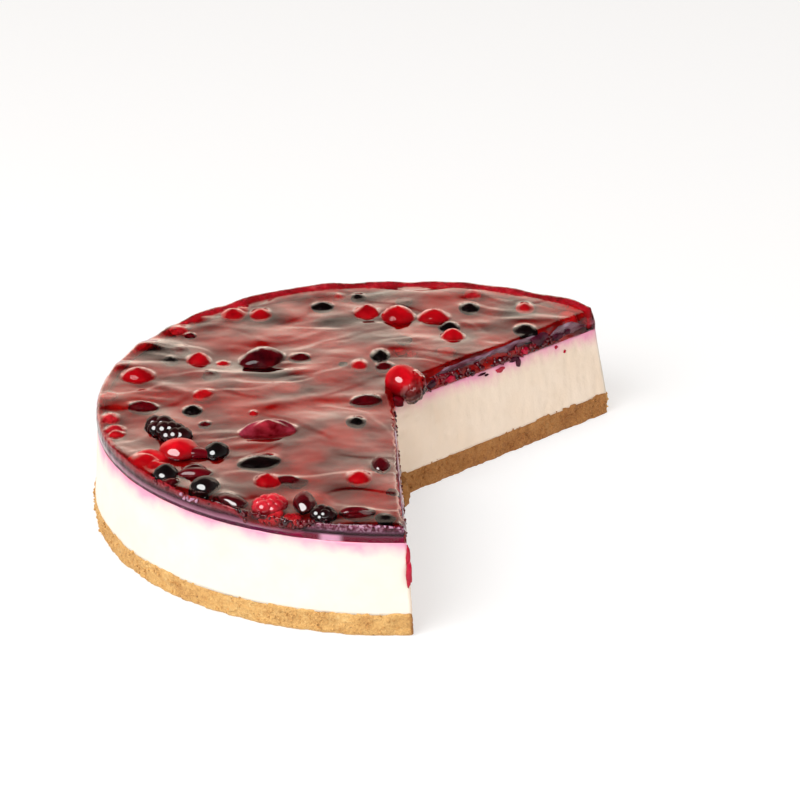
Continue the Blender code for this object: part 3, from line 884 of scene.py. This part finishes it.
def berry_jelly():
    levels = [(JELLY_FOOT, 0.5, 0.0), (JELLY_FOOT + 1.0, 0.3, 0.0), (JELLY_FOOT + 2.2, 0.1, 0.05),
              (JELLY_FOOT + 3.6, 0.0, 0.1), (JELLY_FOOT + 5.0, 0.1, 0.2),
              (CAKE_TOP - 1.6, 0.25, 0.4), (CAKE_TOP - 0.5, 0.5, 0.7)]
    rings = []
    for z, inset, share in levels:
        points = outline(JELLY_RADIUS - inset, z, JELLY_STEP,
                         FRONT_CUT_ROUNDING * share, BACK_CUT_ROUNDING * share)
        cut = cut_share(len(points), JELLY_STEP)
        spots = ring_at(points, z)
        ragged = waves(spots, (4.5, 4.5, 2.5), 6.0) * cut
        ragged += 0.25 * waves(spots, 3.0, 2.0) * (1 - cut)
        fade = min(1.0, (z - JELLY_FOOT) / 2.0)
        rings.append(ring_at(points + normals(points) * (ragged * 1.1 * fade)[:, None], z))
    shape = (JELLY_RADIUS - RIM_ROUNDING, CAKE_TOP)
    rounding = (FRONT_CUT_ROUNDING, BACK_CUT_ROUNDING)
    shoulder = outline(*shape, JELLY_STEP, *rounding)
    inner = grid_inside(shoulder, *corners(*shape, *rounding), JELLY_STEP)
    plan = np.concatenate([shoulder, inner])
    count = len(shoulder)
    top_faces = cap_faces(shoulder, inner, 0, count)
    heights, floor = jelly_height(plan)
    heights[:count] -= 0.2
    heights = smoothed(heights, floor, top_faces, 1)
    first = len(rings) * count
    points = np.concatenate(rings + [ring_at(plan, heights)])
    faces = wall_faces(len(rings) + 1, count)
    faces += [tuple(v + first for v in face) for face in top_faces]
    faces += foot_faces(rings[0])
    piece = add_piece("clear_jelly", points, faces, berry_glass)
    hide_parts("berry_jelly")
    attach(piece, "root")


berry_jelly()

CROWN_LOBE_PLACE = np.array([6.9, 9.6, 47.6])
CROWN_LOBE_SIZE = np.array([6.4, 7.4, 7.0])


def crown_lobe():
    """A lobe of jelly dragged up over the right of the cherry at the tip."""
    points, faces = sphere(5)
    swell = 1.0 + 0.16 * waves(points * 10.0, 7.0, 3.0) + 0.07 * waves(points * 10.0, 2.5, 6.0)
    points = points * CROWN_LOBE_SIZE * swell[:, None] + CROWN_LOBE_PLACE
    points[:, 2] = np.maximum(points[:, 2], JELLY_FOOT + 0.4)
    piece = add_piece("crown_lobe", points, faces, berry_glass)
    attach(piece, "root")


crown_lobe()

# The collar: cream and pulp that crept up the ring before the jelly set. In front it is a torn
# lilac strip over a wine-dark foot, further left two dark lines with lilac between, and behind it
# a painted red glow stands for light shining through the jelly's lip.
COLLAR_RADIUS = 126.95
COLLAR_STEP = 0.8
COLLAR_FOOT = 40.1
COLLAR_TOP = 47.2
UNDER_LIP = 0.5
# Angles about the ring, in degrees: the gap in the foot, the tear over the raspberry, and where
# the front stripes begin.
GAP_ANGLE = 258.0
GAP_HALF = 2.0
TEAR_ANGLE = 247.0
TEAR_HALF = 7.0
TEAR_DEPTH = 4.2
FRONT_STYLE_ANGLE = 246.0
FRONT_STYLE_BLEND = 7.0
LEFT_STRIPES = (
    (0.0, (0.09, 0.002, 0.03)), (0.15, (0.10, 0.003, 0.035)), (0.22, (0.52, 0.24, 0.35)),
    (0.44, (0.24, 0.06, 0.12)), (0.52, (0.05, 0.0, 0.012)), (0.62, (0.08, 0.001, 0.012)),
    (0.70, (0.20, 0.02, 0.025)), (1.0, (0.26, 0.05, 0.04)))
FRONT_STRIPES = (
    (0.0, (0.22, 0.001, 0.03)), (0.29, (0.24, 0.002, 0.035)), (0.34, (0.20, 0.04, 0.09)),
    (0.40, (0.17, 0.03, 0.07)), (0.44, (0.02, 0.0, 0.006)), (0.53, (0.04, 0.004, 0.015)),
    (0.64, (0.20, 0.07, 0.13)), (1.0, (0.22, 0.10, 0.16)))
ROUGH_TONES = ((0.38, (0.03, 0.0, 0.006)), (0.46, (0.15, 0.01, 0.04)),
               (0.54, (0.40, 0.17, 0.29)), (0.64, (0.66, 0.46, 0.58)))
# Painted glow: bright reds for light through the jelly's lip, on the collar's inner faces.
PAINTED_GLOW_TONES = ((0.38, (0.55, 0.001, 0.012)), (0.55, (0.95, 0.008, 0.04)),
              (0.70, (1.0, 0.14, 0.16)))
GAP_PINK = (1.0, 0.56, 0.78)


def collar_material():
    """Lilac cream with dark lines, one order of stripes in front and one at the left; a painted
    glow inside.
    """
    material, shader, place = new_material("lilac_collar",
                                           {"Roughness": 0.35, "Specular IOR Level": 0.08})
    streak = place.stretched(1.0, 1.0, 3.0).grain(140.0, 4.0, 0.6)
    speck = place.grain(700.0, 3.0, 0.7)
    slow = place.grain(30.0, 2.0)
    height = (place.axis(2) - COLLAR_FOOT * MM) * (1000.0 / (COLLAR_TOP - COLLAR_FOOT))
    tone = (height + (streak - 0.5) * 0.10 + (slow - 0.5) * 0.22).clamped()
    upper = ((height - 0.58) * 8.0).clamped()
    is_front = place.mark("front")
    striped = is_front.blend(tone.ramp(LEFT_STRIPES), tone.ramp(FRONT_STRIPES))
    speckled = (upper * (is_front * 0.65 + 0.15)).blend(striped, speck.ramp(ROUGH_TONES))
    gap = place.mark("gap") * ((0.42 - height) * 9.0).clamped()
    # Painted glow: bright red on the inner faces under the rear lip, weaker in front.
    inner = place.mark("inner") * (1.0 - is_front * 0.85)
    glow = place.grain(90.0).ramp(PAINTED_GLOW_TONES)
    feed(shader, "Base Color", inner.blend(gap.blend(speckled, GAP_PINK), glow))
    feed(shader, "Normal", (speck * upper).bump(0.8, 0.0008))
    return material


def ribbon(sections, turned=False):
    """Points and faces of a closed strip whose long edges are the sections; turned, it faces in."""
    sides, length = len(sections), len(sections) * len(sections[0])
    faces = [(i + j, i + sides + j, i + sides + (j + 1) % sides, i + (j + 1) % sides)
             for i in range(0, length - sides, sides) for j in range(sides)]
    ends = [tuple(range(sides)), tuple(reversed(range(length - sides, length)))]
    if turned:
        faces = [face[:1] + face[:0:-1] for face in faces]
        ends = [end[::-1] for end in ends]
    return np.stack(sections, 1).reshape(-1, 3), faces + ends


def cream_collar():
    """A thin band along the round wall with torn edges, leaning inwards behind."""
    start = math.radians(BACK_CUT_TOP_ANGLE) + 0.008
    end = math.radians(270.0) + 0.019
    count = round((end - start) * COLLAR_RADIUS / COLLAR_STEP)
    angles = np.linspace(start, end, count)
    around = np.stack([np.cos(angles), np.sin(angles)], 1)
    spots = ring_at(around * COLLAR_RADIUS, 0.0)
    rear = rear_share(spots)
    torn = 0.7 * waves(spots, 11.0, 8.0) + 0.6 * waves(spots, 1.7, 4.0)
    lip = jelly_height(around * (COLLAR_RADIUS - 0.9))[0] - UNDER_LIP
    top = (COLLAR_TOP + torn) * (1.0 - rear) + lip * rear
    turns = np.degrees(angles)
    top -= TEAR_DEPTH * np.exp(-((turns - TEAR_ANGLE) / TEAR_HALF) ** 6)
    outer = COLLAR_RADIUS + 0.15 * waves(spots, 1.5, 3.0)
    shape = ((0.0, 0.0), (0.35, -0.1), (0.7, 0.0), (1.0, 0.9), (0.55, 3.2), (0.0, 3.2))
    sections = [ring_at(around * (outer - inset)[:, None],
                        COLLAR_FOOT + (top - COLLAR_FOOT) * share) for share, inset in shape]
    points, faces = ribbon(sections)
    style = np.clip((turns - FRONT_STYLE_ANGLE) / FRONT_STYLE_BLEND, 0, 1)
    marks = {"inner": np.tile([0.0, 0.0, 0.0, 0.6, 1.0, 1.0], count),
             "gap": np.repeat(np.exp(-((turns - GAP_ANGLE) / GAP_HALF) ** 6), len(sections)),
             "front": np.repeat(style, len(sections))}
    piece = add_piece("cream_collar", points, faces, collar_material(), marks)
    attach(piece, "root")


cream_collar()

# The cut faces: the knife smeared the jelly into a dull lilac-grey skin over its upper half, tore
# pulp and skins into dark and red bits below it, and dragged a few drips over the cream.
SKIN_DEPTH = 0.35
SKIN_FOOT = 44.4
SKIN_TOP = 47.0
BIT_FOOT = 40.4
BIT_TOP = 44.6
WALL_BIT_RADIUS = 127.0
CUT_POINTS = 160
SMEAR_DEPTH = 0.6
SMEAR_FADE = 12.0
# Which cut each smear lies on, the points that it runs between, and its foot.
SMEARS = {"back_smear": (1, 28, 122, SKIN_FOOT), "corner_smear": (1, 118, 154, BIT_FOOT + 1.2),
          "front_smear": (0, 12, 120, SKIN_FOOT)}
SMEAR_TONES = ((0.2, (0.13, 0.02, 0.04)), (0.45, (0.25, 0.13, 0.18)), (0.8, (0.36, 0.24, 0.30)))


def cut_line(z, inset):
    """Plan points along the two cuts at a height, and their outward normals."""
    tip, front, back = corners(JELLY_RADIUS, z)
    share = np.linspace(0.0, 1.0, CUT_POINTS)[:, None]
    lines = []
    for start, end in ((front, tip), (tip, back)):
        along = (end - start) / np.linalg.norm(end - start)
        out = np.array([along[1], -along[0]])
        lines.append((start + (end - start) * share - out * inset, out))
    return lines


def smear_material():
    """Smeared jelly: lilac grey with wine streaks along the knife's path."""
    material, shader, place = new_material("smeared_jelly", {"Roughness": 0.35})
    streak = place.stretched(1.0, 1.0, 4.0).grain(90.0, 4.0, 0.6)
    feed(shader, "Base Color", ((streak - 0.5) * 2.4 + 0.5).clamped().ramp(SMEAR_TONES))
    return material


smeared = smear_material()


def smear(name, cut, first, last, low):
    """A thin skin just inside one cut face, with a ragged upper and lower edge."""
    line, out = cut_line(SKIN_TOP - 1.0, SKIN_DEPTH)[cut]
    points = line[first:last]
    spots = ring_at(points, 0.0)
    foot = low + 1.2 * waves(spots, 9.0, 3.0) + 0.8 * waves(spots, 2.0, 6.0)
    top = SKIN_TOP + 0.6 * waves(spots, 7.0, 5.0)
    steps_in = np.arange(len(points))
    fade = np.minimum(1.0, np.minimum(steps_in, steps_in[::-1]) / SMEAR_FADE)
    top = foot + np.maximum(top - foot, 0.3) * np.maximum(fade, 0.08)
    points, faces = ribbon([ring_at(points - out * depth, z) for z, depth in (
        (foot, 0.0), (top, 0.0), (top, SMEAR_DEPTH), (foot, SMEAR_DEPTH))], True)
    piece = add_piece(name, points, faces, smeared)
    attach(piece, "root")


for name, place in SMEARS.items():
    smear(name, *place)


def sow_strip(name, low, high, foot, top, per_square_mm, sizes, seed, material):
    """Bits sown over the upright strip between two plan lines and two heights."""
    points = np.concatenate([ring_at(low, foot), ring_at(high, top)])
    count = len(low)
    faces = [(i, i + 1, count + i + 1, count + i) for i in range(count - 1)]
    sow(name, points, faces, per_square_mm, sizes, seed, material)


def wall_line(first, last, count, radius):
    """Plan points on the round wall from one angle to another."""
    turns = np.radians(np.linspace(first, last, count))
    return np.stack([np.cos(turns), np.sin(turns)], 1) * radius


def torn_bits():
    """Torn pulp and skins on the lower half of the jelly's cut faces and at the front rim."""
    pulp = skin_material("torn_pulp", (0.003, 0.0, 0.002), (0.22, 0.001, 0.008), 90.0, 0.5)
    low, high = cut_line(BIT_FOOT, 0.0), cut_line(BIT_TOP, 0.0)
    for cut, name, per_mm, last, largest in ((0, "front_bits", 0.07, CUT_POINTS, 1.6),
                                             (1, "back_bits", 0.22, 124, 3.4)):
        sow_strip(name, low[cut][0][:last], high[cut][0][:last], BIT_FOOT, BIT_TOP, per_mm,
                  (0.8, largest), 7 + cut, pulp)
    for name, first, last, foot, top, sizes in (
            ("wall_bits", 216.0, 257.0, 45.8, 47.7, (0.5, 1.5)),
            ("torn_bits", 240.0, 255.0, 43.0, 47.8, (0.9, 3.0))):
        line = wall_line(first, last, 90, WALL_BIT_RADIUS)
        sow_strip(name, line, line, foot, top, 0.16, sizes, 21, pulp)


torn_bits()

# Lumps and drips that lie on the cuts: which cut, distance from the tip, height, then the size
# along the cut, out of it and upwards.
DRIPS = (
    (0, 133.5, 34.0, 1.4, 0.9, 4.4), (0, 134.3, 27.0, 1.6, 1.1, 5.4),
    (1, 102.4, 35.1, 0.9, 0.4, 0.8), (1, 97.1, 38.2, 1.1, 0.4, 0.9), (1, 62.7, 37.6, 2.6, 0.4, 1.2),
    (1, 33.0, 41.6, 3.0, 1.0, 1.6), (1, 78.0, 41.8, 2.2, 1.0, 1.6),
)
DARK_LUMPS = (
    (1, 73.6, 38.2, 1.5, 0.8, 2.4), (1, 70.6, 39.8, 2.6, 0.8, 1.2), (1, 51.9, 38.7, 2.6, 0.5, 0.5),
    (1, 54.4, 37.6, 1.2, 0.4, 0.5), (1, 87.2, 44.6, 4.6, 1.6, 2.7), (1, 98.0, 42.6, 3.6, 0.9, 1.5),
    (1, 104.5, 43.2, 2.0, 0.8, 1.2), (1, 12.0, 42.0, 3.4, 1.0, 1.8), (1, 22.0, 42.6, 2.6, 1.0, 1.8),
)


def cut_lumps(name, places, material):
    """Rounded lumps pressed flat on the cut faces."""
    ball, ball_faces = sphere(3)
    parts = []
    for index, (cut, away, z, length, depth, height) in enumerate(places):
        tip, front, back = corners(CREAM_TOP_RADIUS, z)
        end = (front, back)[cut]
        along = (end - tip) / np.linalg.norm(end - tip)
        out = np.array([along[1], -along[0]]) * (1 if cut else -1)
        swell = (1.0 + 0.5 * waves(ball * 10.0, 8.0, 3.0 * index))[:, None]
        local = ball * swell * np.array([length, depth, height])
        plan = tip + along * (away + local[:, :1]) + out * local[:, 1:2]
        parts.append((ring_at(plan, z + local[:, 2]), ball_faces))
    piece = add_piece(name, *joined(parts), material)
    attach(piece, "root")


cut_lumps("juice_drips", DRIPS,
          skin_material("juice_drip", (0.30, 0.0, 0.015), (0.52, 0.008, 0.04), 250.0, 0.3))
cut_lumps("cut_skins", DARK_LUMPS,
          skin_material("cut_skin", (0.006, 0.001, 0.003), (0.11, 0.01, 0.03), 250.0, 0.1))


def curd_bits():
    """Pale curds of cream caught in the band and just under it."""
    material, shader, place = new_material("lilac_curd", {"Roughness": 0.5})
    feed(shader, "Base Color", place.grain(300.0).blend((0.34, 0.10, 0.22), (0.74, 0.46, 0.60)))
    for name, first, last, foot, top, sizes in (
            ("band_curds", 227.0, 231.5, 44.6, 46.6, (0.8, 1.8)),
            ("corner_curds", 259.5, 270.5, 46.2, 47.4, (0.5, 1.2))):
        line = wall_line(first, last, 40, WALL_BIT_RADIUS + 0.1)
        sow_strip(name, line, line, foot, top, 0.5, sizes, 31, material)


curd_bits()

# The studio: a pale floor, a white backdrop that the jelly mirrors, a large soft light from the
# front left, and the camera looking down at about 24 degrees.
CAMERA_RISE = 23.668
CAMERA_ROLL = -0.632
CAMERA_DISTANCE = 1.4857
CAMERA_LENS = 157.5
AIM = (1.46, 0.0, 45.54)
# The backdrop's edges are sines of height and of turn; it fades upwards from the glow's level.
BACKDROP_GLOW = 1.8
BACKDROP_WARMTH = (1.0, 0.82, 0.68)
ROOM_COLOUR = (1.0, 0.97, 0.93)
ROOM_GREY = 0.13
PANEL_TOP = 0.58
PANEL_NEAR = 0.10
PANEL_SPREAD = 0.75
GLOW_LEVEL = 0.40
GLOW_FALL = 3.6
GLOW_LIMIT = 1.7
FLOOR_HALF = 6.0


def floor():
    mesh = bpy.data.meshes.new("floor")
    plan = ((-1, -1), (1, -1), (1, 1), (-1, 1))
    mesh.from_pydata([(x * FLOOR_HALF, y * FLOOR_HALF, 0) for x, y in plan], [], [(0, 1, 2, 3)])
    mesh.materials.append(new_material("pale_floor", {
        "Roughness": 0.9, "Base Color": (0.42, 0.42, 0.42, 1.0),
        "Emission Color": (1.0, 1.0, 1.0, 1.0), "Emission Strength": 0.6})[0])
    into_scene("floor", mesh)


def backdrop_light():
    """Bright white low down behind the cake, dark overhead, and a dim room in front."""
    world = bpy.data.worlds.new("studio")
    bpy.context.scene.world = world
    world.use_nodes = True
    way = Value(world.node_tree).node("ShaderNodeTexCoord", output=0)
    up, away = way.axis(2), way.axis(1)
    low = (1.0 - (up - PANEL_TOP) * 20.0).clamped()
    behind = ((away - PANEL_NEAR) * 5.0).clamped()
    aside = way.maths("ABSOLUTE", way.axis(0))
    ahead = (1.0 - (aside - away * PANEL_SPREAD) * 6.0).clamped()
    panel = low * behind * ahead
    room = (1.0 - up * 1.2).clamped() * ROOM_GREY
    glow = (1.0 + (GLOW_LEVEL - up) * GLOW_FALL).clamped(GLOW_LIMIT)
    background = world.node_tree.nodes["Background"]
    feed(background, "Color", panel.blend(ROOM_COLOUR, BACKDROP_WARMTH))
    feed(background, "Strength", panel * glow * BACKDROP_GLOW + room + 0.02)


def soft_light(name, place, size, power):
    light = bpy.data.lights.new(name, "AREA")
    light.shape = "ELLIPSE"
    light.size, light.size_y = size
    light.energy = power
    holder = into_scene(name, light)
    holder.location = place
    holder.rotation_euler = (-Vector(place)).to_track_quat("-Z", "Y").to_euler()
    return holder


def camera():
    rise = math.radians(CAMERA_RISE)
    back = Vector((0.0, -math.cos(rise), math.sin(rise)))
    aim = Vector((AIM[0] + RING_MIDDLE[0], AIM[1] + RING_MIDDLE[1], AIM[2])) * MM
    lens = bpy.data.cameras.new("camera")
    lens.lens = CAMERA_LENS
    lens.sensor_width = 36.0
    holder = into_scene("camera", lens)
    turn = (-back).to_track_quat("-Z", "Y").to_matrix()
    roll = turn @ Matrix.Rotation(math.radians(CAMERA_ROLL), 3, "Z")
    holder.location = aim + back * CAMERA_DISTANCE
    holder.rotation_euler = roll.to_euler()
    bpy.context.scene.camera = holder


floor()
backdrop_light()
soft_light("key_light", (-1.0, -0.96, 1.44), (1.9, 1.5), 48.0)
soft_light("fill_light", (1.4, -1.2, 1.1), (1.8, 1.8), 19.0).visible_glossy = False
camera()
bpy.context.scene.view_settings.view_transform = "Standard"
bpy.context.scene.cycles.use_denoising = True
